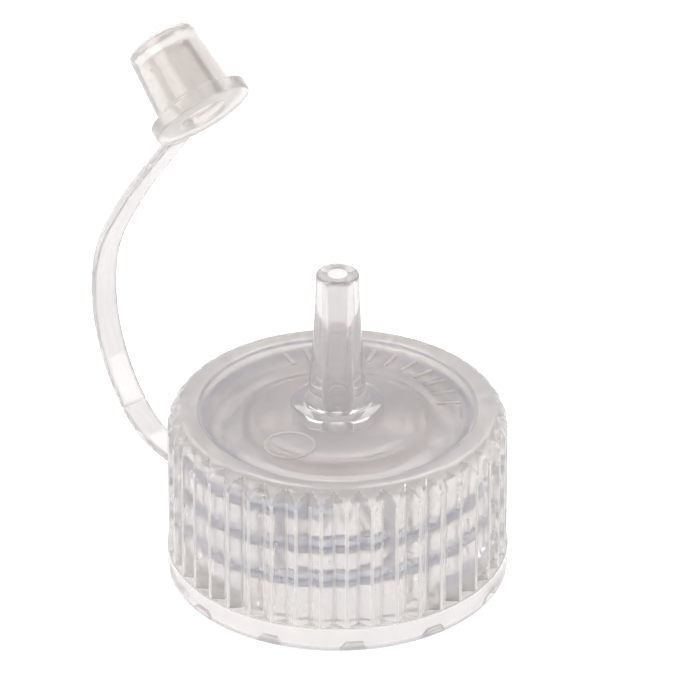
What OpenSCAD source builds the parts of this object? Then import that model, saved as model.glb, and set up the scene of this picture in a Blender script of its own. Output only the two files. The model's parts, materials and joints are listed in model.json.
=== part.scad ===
// Screw closure with a tapered dispensing nozzle and a tethered nozzle lid.
// Origin: closure axis, on the plane of the bottom rim. +Z runs up the nozzle,
// and the tether leaves the closure along -X and curls in the XZ plane.

/* [Closure] */
// Outer diameter over the flute crests
body_d = 28; // [26:0.5:34]
// Height from the bottom rim to the top face
body_h = 14.8; // [13.5:0.1:18]
// Height of the plain band under the flutes
band_h = 2.3; // [1.8:0.1:3]
// Diameter of the bore that carries the thread
bore_d = 24.1; // [23:0.1:24.6]
// Number of V flutes around the skirt
flutes = 42; // [24:1:60]
// Depth of each flute
flute_depth = 1.04; // [0.5:0.02:1.2]
// How far in the shoulder between skirt and top reaches
shoulder_r = 1.4; // [0.8:0.1:1.6]
// How far down the shoulder reaches
shoulder_h = 2.4; // [1.2:0.1:3]
// Thickness of the top plate
top_t = 1.5; // [1.2:0.1:2]

/* [Neck thread] */
// Axial distance between turns, 8 turns to the inch
pitch = 3.175; // [2.5:0.005:4.3]
// Number of turns of the single start
turns = 2.9; // [1.5:0.1:3]
// How far the thread stands in from the bore
thread_depth = 0.9; // [0.5:0.05:1.1]

/* [Nozzle] */
// Height of the nozzle tip above the bottom rim
tip_z = 27.4; // [22:0.1:32]
// Outer diameter of the tip
tip_d = 3.48; // [3:0.02:4]
// Diameter of the dispensing bore
nozzle_bore_d = 1.6; // [1:0.1:2]
// Diameter of the collar at the nozzle's foot
collar_d = 7.6; // [6.5:0.1:9]
// Height of the collar above the top disc
collar_h = 1.0; // [0.6:0.1:1.5]

/* [Tether] */
// Width of the strap
strap_w = 2.25; // [1.6:0.05:3]
// Thickness of the strap
strap_t = 0.7; // [0.5:0.05:0.9]
// Fixed length of strap at the closure
stub_l = 3.0; // [2.5:0.1:4]
// Length of one flexing stretch
link_l = 4.4; // [3.5:0.1:5]
// Fixed length of strap at the lid
tab_l = 4.6; // [4:0.1:6]

/* [Lid] */
// Height of the lid, flange included
lid_h = 7.4; // [6.5:0.1:9]
// Diameter of the flange
flange_d = 8.66; // [8:0.02:10]
// Thickness of the flange
flange_t = 1.15; // [0.8:0.05:1.5]
// Diameter of the cup just above the flange
cup_foot_d = 6.7; // [6:0.1:7.5]
// Diameter of the cup at its closed end
cup_top_d = 5.85; // [5.4:0.05:6.5]

/* [Hidden] */

$fn = 96;
eps = 0.5;                       // overrun of a cutting tool

// Closure
body_r = body_d / 2;
bore_r = bore_d / 2;
valley_r = body_r - flute_depth;
flute_step = 360 / flutes;
flute_phase = 7;                 // angle of one crest from +X
ceiling_z = body_h - top_t;      // underside of the top plate
crest_room = 0.03;               // the shoulder's turned form clears the crests by this
recess_r = 11.2;                 // shallow recess in the top face
recess_d = 0.15;
disc_z = body_h - recess_d;
rim_chamfer = 0.45;
entry_r = bore_r + 0.4;          // plain land where the neck enters

// Ratchet notches in the bottom rim
notches = 12;
notch_h = 0.65;
notch_in_r = 12.75;
notch_out_r = 13.2;
notch_l = 2.0;
notch_ramp = 0.65;

// Thread ridge
thread_z = band_h + 0.95;        // height of the ridge's middle where it starts
thread_root = 1.5;               // width at the bore
thread_crest = 0.55;             // width at the tip
thread_steps = 36;               // sections per turn
thread_fade = 20;                // degrees over which the ridge rises at each end

// Seals under the top plate
plug_r = 7.6;
plug_t = 0.8;
plug_h = 2.2;
land_r = 10.4;
land_t = 0.7;
land_h = 0.45;

// Nozzle
tip_r = tip_d / 2;
nozzle_bore_r = nozzle_bore_d / 2;
collar_z = disc_z + collar_h;
taper_lin = 0.0265;              // growth of the radius per mm below the tip
taper_sq = 0.0031;               // and per mm squared
foot_fillet = 0.5;
nozzle_steps = 8;

// Raised marks on the top disc
mark_r = 9.05;
mark_l = 1.9;
mark_w = 0.32;
mark_h = 0.12;
mark_count = 11;
mark_from = 57;                  // angle of the first bar
mark_step = 11;
ring_at_r = 6.9;                 // mould ring, measured from the closure axis
ring_at = -73;
ring_r = 2.15;
ring_w = 0.3;
ring_h = 0.1;

// Tether: the bend at each hinge, from the closure to the lid
bends = [-3, 14, 34, 18, 19, 18, 20, 4, 4, 0];
strap_z = 0.6;                   // height of the strap's middle plane at the closure
hinge_gap = 0.2;                 // each stretch stops this far short of its hinge
tab_lug_l = 1.6;
tab_lug_t = 0.3;

// Lid
flange_r = flange_d / 2;
step_r = cup_foot_d / 2 + 0.22;
step_h = 0.35;
mouth_r = 2.0;                   // lid bore at the mouth
seat_r = 1.82;                   // lid bore where the nozzle tip stops
seat_depth = 4.0;
cavity_depth = 6.1;
mouth_lead = 0.25;
cup_round = 0.5;

module shell_colour() color([0.87, 0.87, 0.89]) children();
module strap_colour() color([0.82, 0.84, 0.88]) children();
module lid_colour() color([0.90, 0.89, 0.90]) children();

function polar(r, a) = [r * cos(a), r * sin(a)];

// Points of an arc about c, from angle a0 to a1
function arc(c, r, a0, a1, n) =
    [for (i = [0 : n]) c + polar(r, a0 + (a1 - a0) * i / n)];

// Heading of the strap after hinge i, and the place of hinge i as [outward, up]
function heading(i) = i == 0 ? bends[0] : heading(i - 1) + bends[i];
function hinge_at(i) =
    i == 0 ? [body_r + stub_l, strap_z] : hinge_at(i - 1) + polar(link_l, heading(i - 1));
last = len(bends) - 1;
flange_at = hinge_at(last) + polar(tab_l + flange_r, heading(last));

// Outer radius of the nozzle at height z
function nozzle_r(z) = tip_r + taper_lin * (tip_z - z) + taper_sq * pow(tip_z - z, 2);

// Crests and valleys of the fluted outline
module flute_outline() {
    polygon([for (i = [0 : flutes - 1], half = [0, 1])
        polar(half == 0 ? body_r : valley_r, flute_phase + (i + half / 2) * flute_step)]);
}

// A plain ring with its outer radius, inner radius and height
module ring(outer_r, inner_r, h) {
    rotate_extrude()
        polygon([[inner_r, 0], [outer_r, 0], [outer_r, h], [inner_r, h]]);
}

// One ratchet notch: a ramp up to a steep wall, cut from the rim's face
module notch() {
    translate([notch_out_r, 0, 0])
        rotate([90, 0, -90])
            linear_extrude(height = notch_out_r - notch_in_r)
                polygon([[0, -eps], [0, notch_h], [notch_l - notch_ramp, notch_h],
                         [notch_l, 0], [notch_l, -eps]]);
}

module closure_band() shell_colour() difference() {
    rotate_extrude()
        polygon([[entry_r, 0], [body_r - rim_chamfer, 0], [body_r, rim_chamfer],
                 [body_r, band_h], [entry_r, band_h]]);
    for (i = [0 : notches - 1])
        rotate([0, 0, i * 360 / notches])
            notch();
}

// Turned outline: upright sides, a shoulder taller than it is deep, a shallow recess on top
module turned_form() rotate_extrude()
    polygon(concat([[0, 0], [body_r + crest_room, 0]],
        [for (p = arc([0, 0], 1, 0, 90, 8))
            [body_r + crest_room + shoulder_r * (p[0] - 1), body_h + shoulder_h * (p[1] - 1)]],
        [[recess_r + recess_d, body_h], [recess_r, disc_z], [0, disc_z]]));

module fluted_skirt() shell_colour() difference() {
    intersection() {
        translate([0, 0, band_h])
            linear_extrude(height = ceiling_z - band_h)
                flute_outline();
        turned_form();
    }
    cylinder(r = bore_r, h = body_h);
}

// The flutes run out over the shoulder in pointed arches
module top_plate() shell_colour() difference() {
    intersection() {
        translate([0, 0, ceiling_z])
            linear_extrude(height = top_t)
                flute_outline();
        turned_form();
    }
    cylinder(r = nozzle_bore_r, h = body_h + eps);
}

// Right-handed ridge: each section lies in a plane through the axis
function ridge_height(a) =
    let (edge = min(a, turns * 360 - a) / thread_fade) thread_depth * min(1, max(0.15, edge));
function ridge_point(a, in, dz) =
    concat(polar(bore_r - in, a), [thread_z + pitch * a / 360 + dz]);
function ridge_section(a) = [
    ridge_point(a, 0, -thread_root / 2),
    ridge_point(a, ridge_height(a), -thread_crest / 2),
    ridge_point(a, ridge_height(a), thread_crest / 2),
    ridge_point(a, 0, thread_root / 2)
];

module neck_thread() {
    sections = ceil(turns * thread_steps);
    corners = 4;
    points = [for (i = [0 : sections]) each ridge_section(i * turns * 360 / sections)];
    sides = [for (i = [0 : sections - 1], j = [0 : corners - 1])
        [i * corners + j, i * corners + (j + 1) % corners,
         (i + 1) * corners + (j + 1) % corners, (i + 1) * corners + j]];
    ends = [[3, 2, 1, 0], [for (j = [0 : corners - 1]) sections * corners + j]];
    shell_colour()
        polyhedron(points = points, faces = concat(ends, sides), convexity = 8);
}

module plug_seal() shell_colour() translate([0, 0, ceiling_z])
    rotate_extrude()
        polygon([[plug_r - plug_t, 0], [plug_r, 0], [plug_r, -plug_h + 0.5],
                 [plug_r - 0.35, -plug_h], [plug_r - plug_t, -plug_h]]);

module sealing_land() shell_colour() translate([0, 0, ceiling_z - land_h])
    rotate_extrude()
        polygon([[land_r, 0], [land_r + land_t, land_h], [land_r - land_t, land_h]]);

module spout_collar() shell_colour() translate([0, 0, disc_z])
    rotate_extrude()
        polygon(concat([[nozzle_bore_r, 0], [collar_d / 2, 0]],
            arc([collar_d / 2 - 0.35, collar_h - 0.35], 0.35, 0, 90, 4),
            [[nozzle_bore_r, collar_h]]));

module spout_nozzle() shell_colour() {
    foot_z = collar_z + foot_fillet;
    flare = arc([nozzle_r(foot_z) + foot_fillet, foot_z], foot_fillet, 270, 180, 5);
    taper = [for (i = [1 : nozzle_steps])
        let (z = foot_z + (tip_z - foot_z) * i / nozzle_steps) [nozzle_r(z), z]];
    rotate_extrude()
        polygon(concat([[nozzle_bore_r, collar_z]], flare, taper, [[nozzle_bore_r, tip_z]]));
}

// Plain bars standing on the disc, each pointing at the axis
module raised_marks() shell_colour() {
    for (i = [0 : mark_count - 1])
        rotate([0, 0, mark_from + i * mark_step])
            translate([mark_r - mark_l / 2, -mark_w / 2, disc_z])
                cube([mark_l, mark_w, mark_h]);
}

module mould_ring() shell_colour()
    translate(concat(polar(ring_at_r, ring_at), [disc_z]))
        ring(ring_r, ring_r - ring_w, ring_h);

// A flat bar along -X between two distances, about the strap's middle plane
module strap_bar(from, to) {
    translate([-to, -strap_w / 2, -strap_t / 2])
        cube([to - from, strap_w, strap_t]);
}

// Puts a child, drawn along -X from the origin, at hinge i in its rest heading
module at_hinge(i) {
    translate([-hinge_at(i)[0], 0, hinge_at(i)[1]])
        rotate([0, heading(i), 0])
            children();
}

module strap_root() strap_colour() difference() {
    translate([0, 0, strap_z])
        strap_bar(body_r - rim_chamfer, body_r + stub_l - hinge_gap);
    translate([0, 0, -eps])
        cylinder(r = body_r, h = band_h);
}

module strap_link(i) strap_colour()
    at_hinge(i - 1)
        strap_bar(hinge_gap, link_l - hinge_gap);

// Lid frame: mouth on z = 0, closed end up, tether arriving along -X from the rim
module on_lid() {
    translate([-flange_at[0], 0, flange_at[1]])
        rotate([180, heading(last), 0])
            translate([0, 0, -flange_t / 2])
                children();
}

module strap_tab() strap_colour() {
    difference() {
        at_hinge(last)
            union() {
                strap_bar(hinge_gap, tab_l + flange_r / 4);
                translate([0, 0, -strap_t / 2 - tab_lug_t])
                    translate([-tab_l - flange_r / 4, -strap_w / 2, 0])
                        cube([tab_lug_l + flange_r / 4, strap_w, tab_lug_t]);
            }
        on_lid()
            translate([0, 0, -flange_t])
                cylinder(r = flange_r, h = 3 * flange_t);
    }
}

module lid_flange() lid_colour() on_lid()
    rotate_extrude()
        polygon([[mouth_r + mouth_lead, 0], [flange_r - 0.15, 0], [flange_r, 0.15],
                 [flange_r, flange_t - 0.15], [flange_r - 0.15, flange_t],
                 [cavity_r(flange_t), flange_t], [mouth_r, mouth_lead]]);

// Radius of the lid's cavity at height h above the mouth
function cavity_r(h) = mouth_r + (seat_r - mouth_r) * (h - mouth_lead) / (seat_depth - mouth_lead);

module lid_step() lid_colour() on_lid()
    rotate_extrude()
        polygon([[cavity_r(flange_t), flange_t], [step_r, flange_t], [step_r, flange_t + step_h - 0.1],
                 [step_r - 0.1, flange_t + step_h], [cavity_r(flange_t + step_h), flange_t + step_h]]);

module lid_cup() lid_colour() on_lid()
    rotate_extrude()
        polygon(concat(
            [[cavity_r(flange_t + step_h), flange_t + step_h], [cup_foot_d / 2, flange_t + step_h]],
            arc([cup_top_d / 2 - cup_round, lid_h - cup_round], cup_round, 5, 90, 5),
            [[0, lid_h], [0, cavity_depth], [cavity_r(cavity_depth) - 0.4, cavity_depth],
             [cavity_r(cavity_depth), cavity_depth - 0.4]]));

closure_band();
fluted_skirt();
top_plate();
neck_thread();
plug_seal();
sealing_land();
spout_collar();
spout_nozzle();
raised_marks();
mould_ring();
strap_root();
strap_link(1);  // strap_link_1
strap_link(2);  // strap_link_2
strap_link(3);  // strap_link_3
strap_link(4);  // strap_link_4
strap_link(5);  // strap_link_5
strap_link(6);  // strap_link_6
strap_link(7);  // strap_link_7
strap_link(8);  // strap_link_8
strap_link(9);  // strap_link_9
strap_tab();
lid_flange();
lid_step();
lid_cup();
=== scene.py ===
import json
from math import cos, hypot, pi, radians, sin, sqrt

import bpy
import bmesh
from bpy.props import FloatProperty, FloatVectorProperty, IntProperty, PointerProperty
from mathutils import Matrix, Vector


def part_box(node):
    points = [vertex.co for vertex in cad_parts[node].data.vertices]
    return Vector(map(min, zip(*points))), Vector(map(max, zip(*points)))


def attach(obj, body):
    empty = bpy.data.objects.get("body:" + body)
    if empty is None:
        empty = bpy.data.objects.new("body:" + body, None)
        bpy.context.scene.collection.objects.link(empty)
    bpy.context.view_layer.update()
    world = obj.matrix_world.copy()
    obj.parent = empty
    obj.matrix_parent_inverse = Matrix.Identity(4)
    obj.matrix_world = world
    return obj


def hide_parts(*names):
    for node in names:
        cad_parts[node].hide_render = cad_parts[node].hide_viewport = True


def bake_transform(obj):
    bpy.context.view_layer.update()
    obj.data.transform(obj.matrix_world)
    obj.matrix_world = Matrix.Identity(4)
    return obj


bl_info = {
    "name": "Dispensing closure",
    "version": (1, 0, 0),
    "blender": (4, 5, 0),
    "location": "3D view > Sidebar > Closure",
    "description": "Builds a translucent screw closure with a nozzle and a tethered lid",
    "category": "Add Mesh",
}

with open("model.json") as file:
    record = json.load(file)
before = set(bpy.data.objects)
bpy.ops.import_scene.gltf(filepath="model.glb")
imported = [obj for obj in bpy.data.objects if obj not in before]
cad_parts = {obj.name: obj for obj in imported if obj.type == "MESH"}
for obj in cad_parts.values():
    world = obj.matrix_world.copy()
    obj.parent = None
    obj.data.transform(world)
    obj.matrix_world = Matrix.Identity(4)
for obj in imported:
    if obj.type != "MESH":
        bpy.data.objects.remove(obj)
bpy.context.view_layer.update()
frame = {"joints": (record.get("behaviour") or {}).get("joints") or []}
MM = 0.001
JOINTS = frame["joints"]
HINGES = [Vector(j["pos_m"]) for j in JOINTS]


# ---------------------------------------------------------------- sizes

class ClosureSizes(bpy.types.PropertyGroup):
    body_radius: FloatProperty(name="Body radius", description="Outside of the band and of the flutes' crests",
                               default=14 * MM, unit="LENGTH")
    valley_radius: FloatProperty(name="Valley radius", description="Bottom of the grooves between the flutes",
                                 default=12.96 * MM, unit="LENGTH")
    flutes: IntProperty(name="Flutes", description="Number of flutes round the skirt", default=42, min=6)
    flute_phase: FloatProperty(name="Flute phase", description="Angle of one crest", default=radians(7),
                               subtype="ANGLE")
    crest_round: FloatProperty(name="Crest rounding", description="Half width of a crest's flat, as an angle",
                               default=radians(0.42), subtype="ANGLE")
    valley_round: FloatProperty(name="Valley rounding", description="Half width of a groove's bottom, as an angle",
                                default=radians(0.3), subtype="ANGLE")
    arch_round: FloatProperty(name="Arch rounding", description="Softness of the edge where a flute meets the shoulder",
                              default=0.07 * MM, unit="LENGTH")
    body_height: FloatProperty(name="Body height", description="Bottom rim to top of the shoulder",
                               default=14.8 * MM, unit="LENGTH")
    band_height: FloatProperty(name="Band height", description="Plain band under the flutes",
                               default=2.3 * MM, unit="LENGTH")
    shoulder: FloatProperty(name="Shoulder depth", description="How far in the shoulder between skirt and top reaches",
                            default=1.4 * MM, unit="LENGTH")
    shoulder_height: FloatProperty(name="Shoulder height", description="How far down the shoulder reaches",
                                   default=2.4 * MM, unit="LENGTH")
    bore_radius: FloatProperty(name="Bore radius", description="Inside of the skirt", default=12.05 * MM,
                               unit="LENGTH")
    disc_z: FloatProperty(name="Disc height", description="Recessed top face", default=14.65 * MM, unit="LENGTH")
    ceiling_z: FloatProperty(name="Ceiling height", description="Underside of the top plate",
                             default=13.3 * MM, unit="LENGTH")
    thread_pitch: FloatProperty(name="Thread pitch", description="Rise of the ridge in one turn",
                                default=3.175 * MM, unit="LENGTH")
    thread_start: FloatProperty(name="Thread start", description="Height of the ridge's middle where it starts",
                                default=3.25 * MM, unit="LENGTH")
    thread_turns: FloatProperty(name="Thread turns", description="Length of the ridge in turns", default=2.9)
    thread_depth: FloatProperty(name="Thread depth", description="How far the ridge stands out of the bore",
                                default=0.9 * MM, unit="LENGTH")
    thread_root: FloatProperty(name="Thread root", description="Width of the ridge at the bore",
                               default=1.5 * MM, unit="LENGTH")
    thread_crest: FloatProperty(name="Thread crest", description="Width of the ridge at its tip",
                                default=0.55 * MM, unit="LENGTH")
    notches: IntProperty(name="Ratchet notches", description="Notches round the bottom rim", default=12, min=1)
    notch_depth: FloatProperty(name="Notch depth", description="Depth of a ratchet notch", default=0.65 * MM,
                               unit="LENGTH")
    notch_length: FloatProperty(name="Notch length", description="Length of a notch along the rim",
                                default=2.0 * MM, unit="LENGTH")


class SpoutSizes(bpy.types.PropertyGroup):
    collar_radius: FloatProperty(name="Collar radius", description="Raised foot of the nozzle",
                                 default=3.8 * MM, unit="LENGTH")
    collar_height: FloatProperty(name="Collar height", description="Height of the raised foot",
                                 default=1.0 * MM, unit="LENGTH")
    tip_z: FloatProperty(name="Tip height", description="Height of the nozzle's tip", default=27.4 * MM,
                         unit="LENGTH")
    tip_radius: FloatProperty(name="Tip radius", description="Outside of the tip", default=1.74 * MM, unit="LENGTH")
    bore: FloatProperty(name="Bore radius", description="Inside of the nozzle", default=0.8 * MM, unit="LENGTH")
    marks: IntProperty(name="Raised marks", description="Bars standing on the disc", default=11, min=0)
    mark_circle: FloatProperty(name="Mark circle", description="Radius of the arc the bars stand on",
                               default=9.05 * MM, unit="LENGTH")
    mark_size: FloatVectorProperty(name="Mark size", description="Length, width and height of a bar",
                                   default=(1.9 * MM, 0.32 * MM, 0.12 * MM), unit="LENGTH")
    mark_from: FloatProperty(name="First mark", description="Angle of the first bar", default=radians(57),
                             subtype="ANGLE")
    mark_step: FloatProperty(name="Mark step", description="Angle between bars", default=radians(11),
                             subtype="ANGLE")


class StrapSizes(bpy.types.PropertyGroup):
    width: FloatProperty(name="Width", description="Across the strap", default=2.25 * MM, unit="LENGTH")
    thickness: FloatProperty(name="Thickness", description="Through the strap", default=0.7 * MM, unit="LENGTH")
    edge: FloatProperty(name="Edge rounding", description="Rounding of the strap's long edges",
                        default=0.14 * MM, unit="LENGTH")
    lug_length: FloatProperty(name="Lug length", description="Thicker stretch at the lid", default=1.6 * MM,
                              unit="LENGTH")
    lug_height: FloatProperty(name="Lug height", description="How much thicker it is", default=0.3 * MM,
                              unit="LENGTH")
    crease_depth: FloatProperty(name="Crease depth", description="Share of the thickness lost at the fold line",
                                default=0.36, min=0, max=0.8)
    crease_reach: FloatProperty(name="Crease reach", description="Half width of the fold line",
                                default=0.21 * MM, unit="LENGTH")


class LidSizes(bpy.types.PropertyGroup):
    flange_radius: FloatProperty(name="Flange radius", description="Outside of the flange", default=4.33 * MM,
                                 unit="LENGTH")
    flange: FloatProperty(name="Flange thickness", description="Thickness of the flange", default=1.15 * MM,
                          unit="LENGTH")
    height: FloatProperty(name="Height", description="Mouth to closed end", default=7.4 * MM, unit="LENGTH")
    foot_radius: FloatProperty(name="Cup foot radius", description="Cup where it stands on the flange",
                               default=3.35 * MM, unit="LENGTH")
    top_radius: FloatProperty(name="Cup top radius", description="Cup at its closed end", default=2.925 * MM,
                              unit="LENGTH")
    mouth: FloatProperty(name="Mouth radius", description="Opening of the cavity", default=2.0 * MM, unit="LENGTH")
    cavity: FloatProperty(name="Cavity depth", description="Depth of the cavity", default=6.1 * MM, unit="LENGTH")


class Finishes(bpy.types.PropertyGroup):
    shell: FloatVectorProperty(name="Closure", description="Tint of the closure", subtype="COLOR",
                               default=(0.90, 0.868, 0.848), min=0, max=1)
    # Cooler, darker colour: painted shade on the closure's thread ridge, bottom rim foot and disc edge, and the random
    # tint of the cloudy patches in every part
    shade_and_cloud: FloatVectorProperty(name="Painted_shade_and_cloud", description="Cooler tint inside thick or hidden plastic",
                                subtype="COLOR", default=(0.57, 0.62, 0.76), min=0, max=1)
    nozzle: FloatVectorProperty(name="Nozzle", description="Tint of the nozzle", subtype="COLOR",
                                default=(0.91, 0.89, 0.885), min=0, max=1)
    strap: FloatVectorProperty(name="Strap", description="Tint of the strap", subtype="COLOR",
                               default=(0.85, 0.83, 0.825), min=0, max=1)
    lid: FloatVectorProperty(name="Lid", description="Tint of the lid", subtype="COLOR",
                             default=(0.885, 0.855, 0.825), min=0, max=1)
    milk: FloatProperty(name="Milkiness", description="Share of light that each surface scatters",
                        default=0.28, min=0, max=1)


# ---------------------------------------------------------------- node helpers

class Wire:
    """A socket that can be used in arithmetic: each operation adds a Math node."""

    def __init__(self, nodes, socket):
        self.nodes, self.socket = nodes, socket

    def _op(self, operation, *values):
        return self.nodes.add("ShaderNodeMath", {"operation": operation}, dict(enumerate(values)))

    def __add__(self, other): return self._op("ADD", self, other)
    def __radd__(self, other): return self._op("ADD", other, self)
    def __sub__(self, other): return self._op("SUBTRACT", self, other)
    def __rsub__(self, other): return self._op("SUBTRACT", other, self)
    def __mul__(self, other): return self._op("MULTIPLY", self, other)
    def __rmul__(self, other): return self._op("MULTIPLY", other, self)
    def __truediv__(self, other): return self._op("DIVIDE", self, other)
    def __rtruediv__(self, other): return self._op("DIVIDE", other, self)
    def __pow__(self, other): return self._op("POWER", self, other)
    def __lt__(self, other): return self._op("LESS_THAN", self, other)
    def lowest(self, other): return self._op("MINIMUM", self, other)
    def highest(self, other): return self._op("MAXIMUM", self, other)
    def clamped(self): return self.highest(0.0).lowest(1.0)

    def smooth(self):
        t = self.clamped()
        return t * t * (3.0 - 2.0 * t)


class Nodes:
    """Adds nodes to a tree: type, settings, then the values or links of its sockets."""

    def __init__(self, tree):
        self.tree = tree

    def add(self, kind, settings=None, inputs=None, out=0):
        node = self.tree.nodes.new(kind)
        for key, value in (settings or {}).items():
            if key == "stops":
                ramp = node.color_ramp
                while len(ramp.elements) < len(value):
                    ramp.elements.new(0.5)
                for element, (place, colour) in zip(ramp.elements, value):
                    element.position, element.color = place, (*colour, 1)
            else:
                setattr(node, key, value)
        for key, value in (inputs or {}).items():
            if isinstance(value, Wire):
                self.tree.links.new(value.socket, node.inputs[key])
            else:
                node.inputs[key].default_value = value
        return Wire(self, node.outputs[out])

    def root(self, a, b):
        """Square root of a squared plus b squared."""
        return (a * a + b * b) ** 0.5

    def split(self, vector):
        node = self.add("ShaderNodeSeparateXYZ", inputs={0: vector}).socket.node
        return [Wire(self, s) for s in node.outputs]


# ---------------------------------------------------------------- mesh helpers

def round_off(points, n=4):
    """A path of (radius, height, rounding) corners, with each rounding made an arc of n steps."""
    out = []
    count = len(points)
    for i, p in enumerate(points):
        r = p[2] if len(p) > 2 else 0
        if not r:
            out.append((p[0], p[1]))
            continue
        here = Vector(p[:2])
        back, ahead = Vector(points[(i - 1) % count][:2]) - here, Vector(points[(i + 1) % count][:2]) - here
        reach = min(r, 0.49 * back.length, 0.49 * ahead.length)
        a, b = here + back.normalized() * reach, here + ahead.normalized() * reach
        for k in range(n + 1):
            t = k / n
            q = a * (1 - t) ** 2 + here * 2 * t * (1 - t) + b * t ** 2
            out.append((q.x, q.y))
    return out


def spread(path, step):
    """The same path with extra points, so that no stretch is longer than step."""
    out = []
    for a, b in zip(path, path[1:]):
        n = max(1, int(hypot(b[0] - a[0], b[1] - a[1]) / step + 0.5))
        out += [(a[0] + (b[0] - a[0]) * k / n, a[1] + (b[1] - a[1]) * k / n) for k in range(n)]
    return out + [path[-1]]


def build(name, verts, faces, hidden=()):
    """A mesh object; the faces listed in hidden use the second material slot."""
    mesh = bpy.data.meshes.new(name)
    mesh.from_pydata([tuple(v) for v in verts], [], faces)
    obj = bpy.data.objects.new(name, mesh)
    bpy.context.collection.objects.link(obj)
    for i in hidden:
        mesh.polygons[i].material_index = 1
    tidy_faces(mesh)
    return obj


def tidy_faces(mesh, angle=32):
    """Turns the normals outwards and shades smooth, except across edges steeper than angle."""
    work = bmesh.new()
    work.from_mesh(mesh)
    bmesh.ops.recalc_face_normals(work, faces=work.faces)
    work.to_mesh(mesh)
    work.free()
    mesh.shade_smooth()
    mesh.set_sharp_from_angle(angle=radians(angle))


def revolve(name, path, columns, closed=True, hidden=None, place=None):
    """Turns a path of (radius, height) about Z. A radius of 0 is a single point."""
    verts, rows, faces, marked = [], [], [], []
    for r, z in path:
        if r < 1e-9:
            rows.append([len(verts)] * columns)
            verts.append(Vector((0, 0, z)))
            continue
        rows.append(list(range(len(verts), len(verts) + columns)))
        verts += [Vector((r * cos(2 * pi * k / columns), r * sin(2 * pi * k / columns), z)) for k in range(columns)]
    pairs = list(zip(range(len(rows)), range(1, len(rows))))
    if closed:
        pairs.append((len(rows) - 1, 0))
    for i, j in pairs:
        for k in range(columns):
            m = (k + 1) % columns
            face = [rows[i][k], rows[i][m], rows[j][m], rows[j][k]]
            face = [v for n, v in enumerate(face) if v not in face[:n]]
            if len(face) > 2:
                if hidden and hidden(path[i], path[j]):
                    marked.append(len(faces))
                faces.append(face)
    if place:
        verts = [place @ v for v in verts]
    return build(name, verts, faces, marked)


def settle(obj, body, material, nodes=()):
    """Finishes a piece: its materials, its body and the CAD nodes it stands for."""
    inside = [face.material_index for face in obj.data.polygons]
    obj.data.materials.clear()
    obj.data.materials.append(material)
    obj.data.materials.append(joint_face())
    obj.data.polygons.foreach_set("material_index", inside)
    if body:
        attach(obj, body)
    if nodes:
        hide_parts(*nodes)


# ---------------------------------------------------------------- materials

def joint_face():
    """Faces inside the plastic, where two stretches of one moulding meet: nothing shows."""
    mat = bpy.data.materials.get("inside_the_moulding")
    if not mat:
        mat = bpy.data.materials.new("inside_the_moulding")
        mat.use_nodes = True
        shader = mat.node_tree.nodes["Principled BSDF"]
        shader.inputs["Alpha"].default_value = 0
    return mat


def rise(value, start, width):
    """0 up to start, 1 from start + width on."""
    return ((value - start) / width).smooth()


def fall(value, end, width):
    """1 up to end - width, 0 from end on."""
    return ((end - value) / width).smooth()


def shell_zones(n, z, radius, shell):
    """Where the closure's skin differs: masks from height, radius and the way a face looks. Several carry painted
    light: painted highlight on the flute crests, the grooves' bottoms and the upward-facing shoulder, and painted shade
    on the thread ridge, the bottom rim's foot, the disc's edge and the recessed top disc.
    """
    up = n.split(n.add("ShaderNodeNewGeometry", out=1))[2]
    # top: the recessed top disc, rougher and milkier, and given a greyer mauve as painted shade
    top = rise(z, shell.disc_z - 0.3 * MM, 0.3 * MM) * fall(radius, 11.6 * MM, 0.25 * MM)
    band = fall(z, shell.band_height, 0.1 * MM)
    skirt = (1.0 - band) * fall(z, shell.ceiling_z, 0.2 * MM)
    valley = shell.valley_radius
    return {
        "top": top,
        "band": band,
        # edge: painted shade, a cooler darker ring on the top disc next to its recess wall
        "edge": rise(radius, 10.7 * MM, 0.4 * MM) * fall(radius, 11.55 * MM, 0.2 * MM) * top,
        # ridge: painted shade, the thread ridge inside the skirt turns cooler, darker and milkier
        "ridge": fall(radius, shell.bore_radius - 0.08 * MM, 0.14 * MM) * skirt * rise(radius, 10.5 * MM, 0.2 * MM),
        # crest: painted highlight, a near-white glint line along each flute crest
        "crest": rise(radius, shell.body_radius - 0.21 * MM, 0.08 * MM) * skirt,
        # grooves' bottoms: painted highlight, a near-white glint line in each groove
        "groove_painted_highlight": fall(radius, valley + 0.16 * MM, 0.06 * MM) * rise(radius, valley - 0.3 * MM, 0.06 * MM) * skirt,
        # faces turned upwards on the shoulder: painted highlight, paler and milkier
        "shoulder_painted_highlight": rise(up, 0.12, 0.25) * rise(radius, 11.4 * MM, 0.15 * MM),
        # foot: painted shade, the outer bottom of the rim turns cooler and darker
        "foot": fall(z, 0.7 * MM, 0.3 * MM) * rise(radius, 13.2 * MM, 0.2 * MM),
    }


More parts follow.
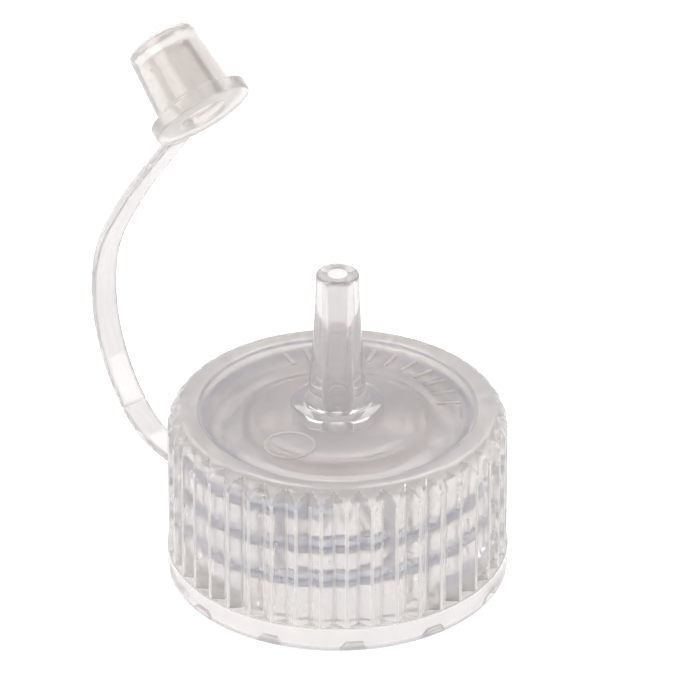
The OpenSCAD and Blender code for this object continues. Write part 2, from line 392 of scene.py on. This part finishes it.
def polypropylene(name, warm, cool_shade_and_cloud, milk, haze, shell=None, flow=(60.0, 60.0, 700.0), depth=0.0000035):
    """Natural polypropylene: clear but milky, with cloudy patches and flow lines, and a faint relief.

    milk is the share of light scattered, haze the roughness in clear and in cloudy patches, flow the stretch of the
    flow lines along each axis and depth the height of the relief. shell gives the closure's sizes, for the zones of its
    skin: polished band, painted highlight on the flute crests, the grooves' bottoms and the upward-facing shoulder, and
    painted shade on the thread ridge, the bottom rim's foot, the disc's edge and the recessed top disc. The second
    colour tints both the cloudy patches and the painted shade.
    """
    mat = bpy.data.materials.new(name)
    mat.use_nodes = True
    n = Nodes(mat.node_tree)
    shader = mat.node_tree.nodes["Principled BSDF"]
    place = n.add("ShaderNodeTexCoord", out=3)
    x, y, z = n.split(place)
    flow_at = n.add("ShaderNodeMapping", inputs={0: place, 3: flow})
    patches = n.add("ShaderNodeTexNoise", inputs={"Vector": place, "Scale": 230.0, "Detail": 3.0, "Roughness": 0.55})
    lines = n.add("ShaderNodeTexNoise", inputs={"Vector": flow_at, "Scale": 5.0, "Detail": 4.0, "Roughness": 0.6})
    skin = n.add("ShaderNodeTexNoise", inputs={"Vector": place, "Scale": 2600.0, "Detail": 1.0})
    swell = n.add("ShaderNodeTexNoise", inputs={"Vector": place, "Scale": 420.0, "Detail": 1.5})
    cloudy = ((0.6 * patches + 0.4 * lines - 0.38) / 0.26).smooth()
    rough = haze[0] + (haze[1] - haze[0]) * (0.75 * cloudy + 0.25 * skin)
    share = milk * (0.92 + 0.16 * cloudy)
    cloud_and_painted_shade = 0.12 * cloudy
    if shell:
        zone = shell_zones(n, z, n.root(x, y), shell)
        # Painted highlight: the crests and the grooves' bottoms turn near-white and milkier
        painted_highlight = (0.9 * zone["crest"] + 0.7 * zone["groove_painted_highlight"]).clamped()
        rough = rough * (1.0 - 0.7 * zone["band"]) + 0.06 * zone["top"]
        share = share * (1.0 - 0.35 * zone["band"]) + 0.2 * zone["top"] + 0.22 * zone["ridge"] + 0.6 * painted_highlight \
            + 0.22 * zone["shoulder_painted_highlight"] + 0.16 * zone["foot"]
        # The upward-facing shoulder joins the painted highlight
        painted_highlight = (painted_highlight + 0.5 * zone["shoulder_painted_highlight"]).clamped()
        # Painted shade: the thread ridge, the rim's foot and the disc's edge shift towards the cooler colour, on top of
        # the cloudy patches' own random tint
        cloud_and_painted_shade = (cloud_and_painted_shade + zone["ridge"] + 0.45 * zone["foot"] + 0.3 * zone["edge"]).clamped()
    colour = n.add("ShaderNodeMix", {"data_type": "RGBA"}, {0: cloud_and_painted_shade, 6: (*warm, 1), 7: (*cool_shade_and_cloud, 1)}, out=2)
    if shell:
        # Mixes in the near-white painted highlight, then the greyer mauve painted shade of the recessed top disc
        for factor, tint in ((painted_highlight, (1, 0.985, 0.96, 1)), (0.4 * zone["top"], (0.74, 0.705, 0.72, 1))):
            colour = n.add("ShaderNodeMix", {"data_type": "RGBA"}, {0: factor, 6: colour, 7: tint}, out=2)
    relief = 0.75 * swell + 0.25 * lines
    bump = n.add("ShaderNodeBump", inputs={"Height": relief, "Distance": depth, "Strength": 1.0})
    for key, wire in (("Base Color", colour), ("Roughness", rough), ("Normal", bump)):
        mat.node_tree.links.new(wire.socket, shader.inputs[key])
    shader.inputs["Transmission Weight"].default_value = 1.0
    shader.inputs["IOR"].default_value = 1.49
    skin_side = n.add("ShaderNodeBsdfDiffuse", inputs={"Color": colour, "Normal": bump})
    glow_side = n.add("ShaderNodeBsdfTranslucent", inputs={"Color": colour, "Normal": bump})
    cloud = n.add("ShaderNodeMixShader", inputs={0: 0.5, 1: skin_side, 2: glow_side})
    whole = n.add("ShaderNodeMixShader", inputs={0: share, 1: Wire(n, shader.outputs[0]), 2: cloud})
    mat.node_tree.links.new(whole.socket, mat.node_tree.nodes["Material Output"].inputs["Surface"])
    return mat


# ---------------------------------------------------------------- closure shell

NOTCH_CIRCLE = 13.0 * MM         # where a notch's length is measured
NOTCH_RAMP = 0.65 * MM           # length of its sloping end


def shell_rows(s):
    """Cross-section of the closure as rows of (radius, height, flute, ridge, notch), once round its outline."""
    R, top, band, bore = s.body_radius / MM, s.body_height / MM, s.band_height / MM, s.bore_radius / MM
    disc, ceiling, deep, tall = s.disc_z / MM, s.ceiling_z / MM, s.shoulder / MM, s.shoulder_height / MM
    rows = [(R - a, b, 0, 0, 0) for a, b in ((0.5, 0), (0.36, 0.03), (0.2, 0.13), (0.09, 0.28), (0.02, 0.43),
                                             (0, 0.6), (0, 1.2), (0, 1.8), (0, band - 0.08), (0.004, band - 0.03),
                                             (0.015, band))]
    rows += [(R + 0.03, z, 1, 0, 0) for z in (band, band + 0.06, 4.8, 7.3, 9.8)]
    rows += [(R + 0.03 - deep + deep * cos(pi / 2 * k / 18), top - tall + tall * sin(pi / 2 * k / 18), 1, 0, 0)
             for k in range(19)]
    inner = [(12.2, top), (11.45, top), (11.38, top - 0.01), (11.22, disc + 0.02), (11.14, disc), (10.4, disc),
             (9.6, disc), (8.7, disc), (7.8, disc), (6.9, disc), (5.8, disc), (4.6, disc), (3.79, disc), (2.4, disc),
             (1.2, disc), (0.8, disc), (0.8, 14.2), (0.8, 13.7), (0.8, ceiling + 0.07), (0.82, ceiling + 0.02),
             (0.88, ceiling), (1.9, ceiling), (3.2, ceiling), (4.6, ceiling), (5.8, ceiling), (6.7, ceiling),
             (6.78, ceiling - 0.03), (6.8, ceiling - 0.1), (6.8, 12.2), (6.8, 11.2), (6.84, 11.12), (6.92, 11.1),
             (7.18, 11.1), (7.27, 11.13), (7.56, 11.54), (7.6, 11.66), (7.6, 12.5), (7.6, ceiling - 0.1),
             (7.63, ceiling - 0.03), (7.7, ceiling), (8.6, ceiling), (9.6, ceiling), (9.72, ceiling - 0.03),
             (10.32, 12.89), (10.4, 12.86), (10.48, 12.89), (11.08, ceiling - 0.03), (11.2, ceiling),
             (11.8, ceiling), (11.98, ceiling - 0.02), (bore, ceiling - 0.1)]
    rows += [(r, z, 0, 0, 0) for r, z in inner]
    low, high, count = band + 0.12, ceiling - 0.14, 70
    rows += [(bore, high + (low - high) * k / count, 0, 1, 0) for k in range(count + 1)]
    wide = bore + 0.4
    rows += [(r, z, 0, 0, 0) for r, z in ((bore, band + 0.05), (bore + 0.05, band), (wide - 0.06, band),
                                          (wide, band - 0.06), (wide, 1.2), (wide, 0.08), (wide + 0.06, 0),
                                          (wide + 0.28, 0))]
    rows += [(wide + 0.3, 0, 0, 0, 1), (13.2, 0, 0, 0, 1), (13.22, 0, 0, 0, 0)]
    return rows


def shell_tree(s):
    """Geometry Nodes: cuts the flutes, raises the thread ridge and cuts the ratchet notches in a turned blank."""
    tree = bpy.data.node_groups.new("closure_carving", "GeometryNodeTree")
    n = Nodes(tree)
    face = tree.interface
    face.new_socket(name="Geometry", in_out="INPUT", socket_type="NodeSocketGeometry")
    face.new_socket(name="Geometry", in_out="OUTPUT", socket_type="NodeSocketGeometry")
    sizes = {"Flutes": s.flutes, "Flute phase": s.flute_phase, "Crest radius": s.body_radius,
             "Valley radius": s.valley_radius, "Crest rounding": s.crest_round, "Valley rounding": s.valley_round,
             "Arch rounding": s.arch_round, "Thread pitch": s.thread_pitch, "Thread start": s.thread_start,
             "Thread turns": s.thread_turns, "Thread depth": s.thread_depth, "Thread root": s.thread_root,
             "Thread crest": s.thread_crest, "Notches": s.notches, "Notch depth": s.notch_depth,
             "Notch length": s.notch_length}
    for key in sizes:
        face.new_socket(name=key, in_out="INPUT", socket_type="NodeSocketFloat")
    face.new_socket(name="Material", in_out="INPUT", socket_type="NodeSocketMaterial")
    source = tree.nodes.new("NodeGroupInput")
    given = {k: Wire(n, source.outputs[k]) for k in sizes}

    def mask(name):
        return n.add("GeometryNodeInputNamedAttribute", {"data_type": "FLOAT"}, {"Name": name})

    x, y, z = n.split(n.add("GeometryNodeInputPosition"))
    radius = n.root(x, y)
    turn = x._op("ARCTAN2", y, x)
    # flutes: the straight facet from crest to valley, as a radius at each angle
    step = 2 * pi / given["Flutes"]
    half = step / 2
    away = x._op("PINGPONG", turn - given["Flute phase"] + 4 * pi, half)
    away = away.highest(given["Crest rounding"]).lowest(half - given["Valley rounding"])
    foot_x = given["Valley radius"] * x._op("COSINE", half)
    foot_y = given["Valley radius"] * x._op("SINE", half)
    run = n.root(given["Crest radius"] - foot_x, foot_y)
    nx, ny = foot_y / run, (given["Crest radius"] - foot_x) / run
    facet = given["Crest radius"] * nx / (nx * x._op("COSINE", away) + ny * x._op("SINE", away))
    cut = (radius + facet - n.root(radius - facet, given["Arch rounding"])) / 2
    radius = radius + mask("flute") * (cut - radius)
    # thread ridge
    part = x._op("FRACT", turn / (2 * pi) + 1.0)
    climb = (z - given["Thread start"]) / given["Thread pitch"] - part
    lap = x._op("ROUND", climb)
    off = x._op("ABSOLUTE", (climb - lap) * given["Thread pitch"])
    along = lap + part
    flank = (given["Thread root"] - given["Thread crest"]) / 2
    rise = ((given["Thread root"] / 2 - off) / flank).smooth()
    fade = (along.lowest(given["Thread turns"] - along) * 18.0).smooth()
    radius = radius - mask("ridge") * rise * fade * given["Thread depth"]
    # ratchet notches: a steep wall at one end and a ramp at the other
    pitch = 2 * pi / given["Notches"]
    back = x._op("FRACT", 1.0 - turn / pitch + given["Notches"]) * pitch * NOTCH_CIRCLE
    ramp = ((given["Notch length"] - back) / NOTCH_RAMP).clamped()
    height = z + mask("notch") * ramp * given["Notch depth"]
    place = n.add("ShaderNodeCombineXYZ", inputs={0: radius * x._op("COSINE", turn), 1: radius * x._op("SINE", turn),
                                                  2: height})
    moved = n.add("GeometryNodeSetPosition", inputs={"Geometry": Wire(n, source.outputs["Geometry"]),
                                                     "Position": place})
    solid = n.add("GeometryNodeRealizeInstances", inputs={"Geometry": moved})
    hidden = mask("joint")
    done = n.add("GeometryNodeSetMaterial", inputs={"Geometry": solid, "Selection": hidden < 0.5,
                                                    "Material": Wire(n, source.outputs["Material"])})
    sink = tree.nodes.new("NodeGroupOutput")
    tree.links.new(done.socket, sink.inputs[0])
    return tree, sizes


def apply_tree(obj, tree, values, material):
    """Runs a Geometry Nodes tree on obj and returns the result as a plain mesh object of the same name."""
    mod = obj.modifiers.new("shape", "NODES")
    mod.node_group = tree
    for item in tree.interface.items_tree:
        if item.in_out != "INPUT":
            continue
        if item.name in values:
            mod[item.identifier] = values[item.name]
        elif item.socket_type == "NodeSocketMaterial":
            mod[item.identifier] = material
    bpy.context.view_layer.update()
    graph = bpy.context.evaluated_depsgraph_get()
    mesh = bpy.data.meshes.new_from_object(obj.evaluated_get(graph), preserve_all_data_layers=False, depsgraph=graph)
    name = obj.name
    bpy.data.objects.remove(obj)
    done = bpy.data.objects.new(name, mesh)
    bpy.context.collection.objects.link(done)
    return done


class CLOSURE_OT_shell(bpy.types.Operator):
    """Band, fluted skirt, thread, top plate and seals of the closure"""
    bl_idname = "closure.shell"
    bl_label = "Closure shell"

    def execute(self, context):
        s, finish = context.scene.closure_sizes, context.scene.closure_finishes
        rows = shell_rows(s)
        step = 2 * pi / s.flutes
        flat, floor = 2 * s.crest_round / step, 1 - 2 * s.valley_round / step
        shares = (0, flat, flat + 0.04, 0.3, 0.64, floor - 0.04, floor, 1)
        shares = [v / 2 for v in shares] + [1 - v / 2 for v in reversed(shares[1:-1])]
        angles = [s.flute_phase + (i + v) * step for i in range(s.flutes) for v in shares]
        columns, verts, faces = len(angles), [], []
        for r, z, *_ in rows:
            verts += [(r * MM * cos(a), r * MM * sin(a), z * MM) for a in angles]
        hidden = []
        for i in range(len(rows)):
            j = (i + 1) % len(rows)
            inside = all(rows[k][1] == s.disc_z / MM and rows[k][0] < 3.8 for k in (i, j))
            for k in range(columns):
                m = (k + 1) % columns
                if inside:
                    hidden.append(len(faces))
                faces.append((i * columns + k, i * columns + m, j * columns + m, j * columns + k))
        blank = build("closure_shell", verts, faces, hidden)
        for place, key in enumerate(("flute", "ridge", "notch"), start=2):
            layer = blank.data.attributes.new(key, "FLOAT", "POINT")
            layer.data.foreach_set("value", [float(row[place]) for row in rows for _ in angles])
        layer = blank.data.attributes.new("joint", "FLOAT", "FACE")
        marks = [0.0] * len(faces)
        for i in hidden:
            marks[i] = 1.0
        layer.data.foreach_set("value", marks)
        plastic = polypropylene("shell_plastic", finish.shell, finish.shade_and_cloud, milk=finish.milk,
                                haze=(0.05, 0.12), flow=(60.0, 60.0, 12.0), shell=s)
        blank.data.materials.append(plastic)
        blank.data.materials.append(joint_face())
        tree, values = shell_tree(s)
        values = {k: float(v) for k, v in values.items()}
        obj = apply_tree(blank, tree, values, plastic)
        index = [1 if m > 0.5 else 0 for m in marks]
        tidy_faces(obj.data, 28)
        obj.data.polygons.foreach_set("material_index", index)
        settle(obj, "closure", plastic,
               ("closure_band", "fluted_skirt", "top_plate", "neck_thread", "plug_seal", "sealing_land"))
        return {"FINISHED"}


# ---------------------------------------------------------------- nozzle and marks

TAPER = (0.0265, 0.0031)         # growth of the nozzle's radius per mm below the tip, and per mm squared


class CLOSURE_OT_spout(bpy.types.Operator):
    """Collar and tapered nozzle with its bore"""
    bl_idname = "closure.spout"
    bl_label = "Nozzle"

    def execute(self, context):
        s, c, finish = context.scene.closure_spout, context.scene.closure_sizes, context.scene.closure_finishes
        base, top, R = c.disc_z / MM, s.tip_z / MM, s.collar_radius / MM
        shelf = base + s.collar_height / MM
        tip, bore = s.tip_radius / MM, s.bore / MM

        def taper(z):
            return tip + TAPER[0] * (top - z) + TAPER[1] * (top - z) ** 2

        fillet = 0.5
        foot = shelf + fillet
        outside = [(R, base), (R, shelf - 0.35), (R - 0.04, shelf - 0.18), (R - 0.16, shelf - 0.05),
                   (R - 0.35, shelf)]
        outside += [(taper(foot) + fillet - fillet * sin(pi / 2 * k / 6), foot - fillet * cos(pi / 2 * k / 6))
                    for k in range(7)]
        outside += [(taper(foot + (top - 0.12 - foot) * k / 26), foot + (top - 0.12 - foot) * k / 26)
                    for k in range(1, 27)]
        lip = [(tip - 0.03, top - 0.05), (tip - 0.1, top), (bore + 0.09, top), (bore + 0.03, top - 0.03),
               (bore, top - 0.1)]
        inside = [(bore, top - 0.1 + (base - top + 0.1) * k / 12) for k in range(1, 13)]
        path = [(r * MM, z * MM) for r, z in outside + lip + inside]
        floor = base * MM + 1e-7
        obj = revolve("spout", path, 168, hidden=lambda a, b: a[1] < floor and b[1] < floor)
        plastic = polypropylene("nozzle_plastic", finish.nozzle, finish.shade_and_cloud, milk=finish.milk * 0.8,
                                haze=(0.04, 0.1), flow=(160.0, 160.0, 8.0), depth=0.0000006)
        settle(obj, "closure", plastic, ("spout_collar", "spout_nozzle"))
        return {"FINISHED"}


def mark_tree(s, z):
    """Geometry Nodes: rounded bars standing on an arc, each pointing at the axis."""
    tree = bpy.data.node_groups.new("bars_on_an_arc", "GeometryNodeTree")
    n = Nodes(tree)
    face = tree.interface
    face.new_socket(name="Geometry", in_out="OUTPUT", socket_type="NodeSocketGeometry")
    values = {"Count": s.marks, "Circle": s.mark_circle, "Height": z, "From": s.mark_from, "Step": s.mark_step,
              "Bar length": s.mark_size[0], "Bar width": s.mark_size[1], "Bar height": s.mark_size[2]}
    for key in values:
        kind = "NodeSocketInt" if key == "Count" else "NodeSocketFloat"
        face.new_socket(name=key, in_out="INPUT", socket_type=kind)
    face.new_socket(name="Material", in_out="INPUT", socket_type="NodeSocketMaterial")
    source = tree.nodes.new("NodeGroupInput")
    given = {k: Wire(n, source.outputs[k]) for k in values}
    count = n.add("GeometryNodeInputIndex")
    angle = given["From"] + given["Step"] * count
    spot = n.add("ShaderNodeCombineXYZ", inputs={0: given["Circle"] * count._op("COSINE", angle),
                                                 1: given["Circle"] * count._op("SINE", angle), 2: given["Height"]})
    points = n.add("GeometryNodePoints", inputs={"Count": given["Count"], "Position": spot})
    outline = n.add("GeometryNodeCurvePrimitiveQuadrilateral", inputs={"Width": given["Bar length"],
                                                                      "Height": given["Bar width"]})
    outline = n.add("GeometryNodeFilletCurve", {"mode": "POLY"},
                    {"Curve": outline, "Count": 5, "Radius": given["Bar width"] * 0.42})
    flat = n.add("GeometryNodeFillCurve", {"mode": "NGONS"}, {"Curve": outline})
    lift = n.add("ShaderNodeCombineXYZ", inputs={2: given["Bar height"]})
    raised = n.add("GeometryNodeExtrudeMesh", inputs={"Mesh": flat, "Offset": lift, "Offset Scale": 1.0,
                                                       "Individual": False})
    under = n.add("GeometryNodeFlipFaces", inputs={"Mesh": flat})
    join = tree.nodes.new("GeometryNodeJoinGeometry")
    for wire in (raised, under):
        tree.links.new(wire.socket, join.inputs[0])
    bar = n.add("GeometryNodeMergeByDistance", inputs={"Geometry": Wire(n, join.outputs[0]), "Distance": 1e-6})
    turn = n.add("ShaderNodeCombineXYZ", inputs={2: angle})
    bars = n.add("GeometryNodeInstanceOnPoints", inputs={"Points": points, "Instance": bar, "Rotation": turn})
    solid = n.add("GeometryNodeRealizeInstances", inputs={"Geometry": bars})
    done = n.add("GeometryNodeSetMaterial", inputs={"Geometry": solid,
                                                    "Material": Wire(n, source.outputs["Material"])})
    sink = tree.nodes.new("NodeGroupOutput")
    tree.links.new(done.socket, sink.inputs[0])
    return tree, values


class CLOSURE_OT_marks(bpy.types.Operator):
    """Raised bars and the mould ring on the top disc"""
    bl_idname = "closure.marks"
    bl_label = "Raised marks"

    def execute(self, context):
        s, c, finish = context.scene.closure_spout, context.scene.closure_sizes, context.scene.closure_finishes
        plastic = polypropylene("mark_plastic", finish.shell, finish.shell, milk=0.7, haze=(0.12, 0.22))
        blank = bpy.data.objects.new("raised_marks_visual", bpy.data.meshes.new("raised_marks_visual"))
        bpy.context.collection.objects.link(blank)
        tree, values = mark_tree(s, c.disc_z)
        values = {k: (int(v) if k == "Count" else float(v)) for k, v in values.items()}
        obj = apply_tree(blank, tree, values, plastic)
        if len(obj.data.polygons) < s.marks:
            raise RuntimeError("the raised marks came out empty")
        tidy_faces(obj.data)
        for face in obj.data.polygons:
            face.material_index = 1 if abs(face.center.z - c.disc_z) < 1e-6 else 0
        settle(obj, "closure", plastic, ("raised_marks",))
        low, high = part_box("mould_ring")
        centre = (Vector(low) + Vector(high)) / 2
        r = (high[0] - low[0]) / 2
        tall, wide, soft = 0.1 * MM, 0.3 * MM, 0.05 * MM
        path = round_off([(r, 0), (r, tall, soft), (r - wide, tall, soft), (r - wide, 0)])
        ring = revolve("mould_ring_visual", path, 96, place=Matrix.Translation((centre.x, centre.y, c.disc_z)),
                       hidden=lambda a, b: a[1] == 0 and b[1] == 0)
        settle(ring, "closure", plastic, ("mould_ring",))
        return {"FINISHED"}


# ---------------------------------------------------------------- strap

KNEE = 2.2 * MM                  # how far from a hinge the strap starts to curve
ROOT_KNEE = 1.5 * MM             # the same on the closure's side of the first hinge
BLEND = 1.45 * MM                # how far from a hinge a blend between two bodies would end; the strap gets no such blend


def strap_points(radius):
    """Hinge points of the strap, with where it leaves the closure and where it reaches the lid."""
    low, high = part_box("lid_flange")
    lid = (Vector(low) + Vector(high)) / 2
    return [Vector((-radius, 0, HINGES[0].z))] + HINGES + [lid]


class CLOSURE_OT_strap(bpy.types.Operator):
    """The flat strap, one stretch for each of its joints, each curved round its hinge"""
    bl_idname = "closure.strap"
    bl_label = "Strap"

    def execute(self, context):
        s, c, lid, finish = (context.scene.closure_strap, context.scene.closure_sizes, context.scene.closure_lid,
                             context.scene.closure_finishes)
        plastic = polypropylene("strap_plastic", finish.strap, finish.shade_and_cloud, milk=finish.milk * 1.2,
                                haze=(0.06, 0.16), flow=(60.0, 500.0, 60.0))
        points = strap_points(c.body_radius)
        crease = (HINGES[2] + HINGES[3]) / 2
        last = len(HINGES)
        half_w, half_t, edge = s.width / 2, s.thickness / 2, s.edge
        corner = [(half_w - edge + edge * sin(a), half_t - edge + edge * cos(a))
                  for a in (0, pi / 6, pi / 3, pi / 2)]
        quarter = [(0.0, half_t), (half_w * 0.3, half_t), (half_w * 0.62, half_t)] + corner
        right = quarter + [(half_w, 0.0)] + [(y, -t) for y, t in reversed(quarter)]
        section = right + [(-y, t) for y, t in reversed(right[1:-1])]
        for i in range(1, last + 1):
            a, hinge, b = points[i - 1], points[i], points[i + 1]
            start = a if i == 1 else (a + hinge) / 2
            end = b if i == last else (hinge + b) / 2
            into, out = (hinge - start).normalized(), (end - hinge).normalized()
            if i == last:
                end = b - out * lid.flange_radius
            knee_a, knee_b = hinge - into * (ROOT_KNEE if i == 1 else KNEE), hinge + out * KNEE
            stations = []
            lead, tail = (knee_a - start).length, (end - knee_b).length
            if lead > 1e-6:
                count = max(1, round(lead / (0.25 * MM)))
                stations += [(start.lerp(knee_a, k / count), into) for k in range(count)]
            for k in range(21):
                t = k / 20
                spot = knee_a * (1 - t) ** 2 + hinge * 2 * t * (1 - t) + knee_b * t ** 2
                way = ((hinge - knee_a) * (1 - t) + (knee_b - hinge) * t).normalized()
                stations.append((spot, way))
            if tail > 1e-6:
                count = max(1, round(tail / (0.2 * MM)))
                stations += [(knee_b.lerp(end, k / count), out) for k in range(1, count + 1)]
            verts, faces = [], []
            for k, (spot, way) in enumerate(stations):
                up = Vector((way.z, 0, -way.x))
                fold = 1 - s.crease_depth * max(0.0, 1 - (spot - crease).length / s.crease_reach)
                for y, t in section:
                    v = spot + Vector((0, y, 0)) + up * t * fold
                    if i == last and (spot - end).length < s.lug_length and t < 0:
                        reach = 1 - ((spot - end).length / s.lug_length)
                        v -= up * s.lug_height * min(1.0, reach * 12)
                    if k == 0 and i == 1:
                        v.x = -sqrt(c.body_radius ** 2 - y * y) + 0.00004
                    if k == len(stations) - 1 and i == last:
                        v += way * (lid.flange_radius - sqrt(lid.flange_radius ** 2 - y * y) + 0.00002)
                    verts.append(v)
            m = len(section)
            for k in range(len(stations) - 1):
                faces += [(k * m + q, k * m + (q + 1) % m, (k + 1) * m + (q + 1) % m, (k + 1) * m + q)
                          for q in range(m)]
            ends = len(faces)
            faces += [tuple(reversed(range(m))), tuple(range((len(stations) - 1) * m, len(stations) * m))]
            obj = build(f"strap_{i:02d}", verts, faces, (ends, ends + 1))
            nodes = ["strap_root" if i == 1 else f"strap_link_{i - 1}"] + (["strap_tab"] if i == last else [])
            settle(obj, None, plastic, nodes)
            tuple(hinge - into * BLEND)
            tuple(hinge + out * BLEND)
            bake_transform(obj)
        return {"FINISHED"}


# ---------------------------------------------------------------- lid

class CLOSURE_OT_lid(bpy.types.Operator):
    """Lid: flange, step and cup with its cavity"""
    bl_idname = "closure.lid"
    bl_label = "Lid"

    def execute(self, context):
        s, finish = context.scene.closure_lid, context.scene.closure_finishes
        low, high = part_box("lid_flange")
        centre = (Vector(low) + Vector(high)) / 2
        reach = (centre - HINGES[-1]).normalized()
        axis = Vector((-reach.z, 0, reach.x))
        place = Matrix((-reach, axis.cross(-reach), axis)).transposed().to_4x4()
        place.translation = centre - axis * s.flange / 2
        R, t, top = s.flange_radius / MM, s.flange / MM, s.height / MM
        foot, crown, mouth, deep = s.foot_radius / MM, s.top_radius / MM, s.mouth / MM, s.cavity / MM

        seat, seat_depth, lead = 1.82, 4.0, 0.25
        step_out, step_up = 0.22, 0.35

        def cavity(h):
            return mouth + (seat - mouth) * (h - lead) / (seat_depth - lead)

        path = round_off([(0, top), (crown, top, 0.5), (foot, t + step_up, 0.12), (foot + step_out, t + step_up, 0.1),
                          (foot + step_out, t, 0.12), (R, t, 0.18), (R, 0, 0.18), (mouth + lead, 0, 0.06),
                          (mouth, lead, 0.12), (cavity(deep), deep, 0.4), (0, deep)], 5)
        path = [(r * MM, h * MM) for r, h in spread(path, 0.45)]
        obj = revolve("lid_shell", path, 132, closed=False, place=place)
        plastic = polypropylene("lid_plastic", finish.lid, finish.shade_and_cloud, milk=finish.milk * 1.05,
                                haze=(0.05, 0.13), flow=(90.0, 90.0, 90.0), depth=0.000002)
        settle(obj, "lid", plastic, ("lid_flange", "lid_step", "lid_cup"))
        return {"FINISHED"}


# ---------------------------------------------------------------- stage

class CLOSURE_OT_stage(bpy.types.Operator):
    """Pale floor, soft studio light and the camera"""
    bl_idname = "closure.stage"
    bl_label = "Stage"

    def execute(self, context):
        scene = context.scene
        scene.view_settings.view_transform = "Standard"
        scene.view_settings.look = "None"
        mesh = bpy.data.meshes.new("floor")
        mesh.from_pydata([(-0.9, -0.9, 0), (0.9, -0.9, 0), (0.9, 0.9, 0), (-0.9, 0.9, 0)], [], [(0, 1, 2, 3)])
        floor = bpy.data.objects.new("floor", mesh)
        scene.collection.objects.link(floor)
        floor.location.z = -0.05 * MM
        mat = bpy.data.materials.new("floor_card")
        mat.use_nodes = True
        shader = mat.node_tree.nodes["Principled BSDF"]
        shader.inputs["Base Color"].default_value = (0.5, 0.5, 0.5, 1)
        shader.inputs["Roughness"].default_value = 0.9
        shader.inputs["Specular IOR Level"].default_value = 0.0
        shader.inputs["Emission Color"].default_value = (1, 1, 1, 1)
        shader.inputs["Emission Strength"].default_value = 0.92
        mesh.materials.append(mat)

        world = bpy.data.worlds.new("studio")
        scene.world = world
        world.use_nodes = True
        n = Nodes(world.node_tree)
        back = world.node_tree.nodes["Background"]
        height = n.split(n.add("ShaderNodeTexCoord", out=0))[2]
        ramp = n.add("ShaderNodeValToRGB", {"stops": [(0.0, (0.8, 0.8, 0.8)), (0.5, (0.6, 0.6, 0.62)),
                                                      (0.6, (0.4, 0.385, 0.38)), (0.78, (0.27, 0.255, 0.25)),
                                                      (1.0, (0.3, 0.29, 0.31))]},
                     {0: height * 0.5 + 0.5})
        world.node_tree.links.new(ramp.socket, back.inputs["Color"])
        back.inputs["Strength"].default_value = 0.8

        def softbox(name, spot, size, power, aim=(0, 0, 0.012)):
            data = bpy.data.lights.new(name, "AREA")
            data.color = (1.0, 0.975, 0.95)
            data.shape, data.size, data.size_y, data.energy = "RECTANGLE", size[0], size[1], power
            lamp = bpy.data.objects.new(name, data)
            lamp.location = spot
            lamp.rotation_euler = (Vector(aim) - Vector(spot)).to_track_quat("-Z", "Y").to_euler()
            scene.collection.objects.link(lamp)

        az = radians(51)
        ahead, side = Vector((-sin(az), cos(az), 0)), Vector((cos(az), sin(az), 0))
        softbox("key", tuple(-side * 0.28 - ahead * 0.12 + Vector((0, 0, 0.3))), (0.2, 0.26), 0.86)
        softbox("fill", tuple(side * 0.3 - ahead * 0.1 + Vector((0, 0, 0.22))), (0.16, 0.26), 0.5)
        softbox("back", tuple(ahead * 0.3 + Vector((0, 0, 0.3))), (0.4, 0.14), 0.72)

        data = bpy.data.cameras.new("camera")
        data.lens, data.sensor_width = 426.7, 36
        data.clip_start, data.clip_end = 0.01, 10
        camera = bpy.data.objects.new("camera", data)
        scene.collection.objects.link(camera)
        scene.camera = camera
        tip = radians(30)
        look = Vector((-sin(az) * cos(tip), cos(az) * cos(tip), -sin(tip)))
        up = Vector((-sin(az) * sin(tip), cos(az) * sin(tip), cos(tip)))
        camera.location = up * 18.55 * MM - look * 658.8 * MM
        camera.rotation_euler = Matrix((look.cross(up), up, -look)).transposed().to_euler()
        return {"FINISHED"}


class CLOSURE_PT_panel(bpy.types.Panel):
    """Lists the pieces of the closure"""
    bl_idname = "CLOSURE_PT_panel"
    bl_label = "Closure"
    bl_space_type = "VIEW_3D"
    bl_region_type = "UI"
    bl_category = "Closure"

    def draw(self, context):
        for step in STEPS:
            self.layout.operator(step)
        for group in (context.scene.closure_sizes, context.scene.closure_spout, context.scene.closure_strap,
                      context.scene.closure_lid, context.scene.closure_finishes):
            box = self.layout.box()
            for key in group.__annotations__:
                box.prop(group, key)


GROUPS = {"closure_sizes": ClosureSizes, "closure_spout": SpoutSizes, "closure_strap": StrapSizes,
          "closure_lid": LidSizes, "closure_finishes": Finishes}
CLASSES = (*GROUPS.values(), CLOSURE_OT_shell, CLOSURE_OT_spout, CLOSURE_OT_marks, CLOSURE_OT_strap,
           CLOSURE_OT_lid, CLOSURE_OT_stage, CLOSURE_PT_panel)
STEPS = ("closure.shell", "closure.spout", "closure.marks", "closure.strap", "closure.lid", "closure.stage")


def register():
    for cls in CLASSES:
        bpy.utils.register_class(cls)
    for key, group in GROUPS.items():
        setattr(bpy.types.Scene, key, PointerProperty(type=group))


def unregister():
    for key in GROUPS:
        delattr(bpy.types.Scene, key)
    for cls in reversed(CLASSES):
        bpy.utils.unregister_class(cls)


def main():
    register()
    for step in STEPS:
        family, name = step.split(".")
        if getattr(getattr(bpy.ops, family), name)() != {"FINISHED"}:
            raise RuntimeError(f"{step} did not finish")


if __name__ == "__main__":
    main()
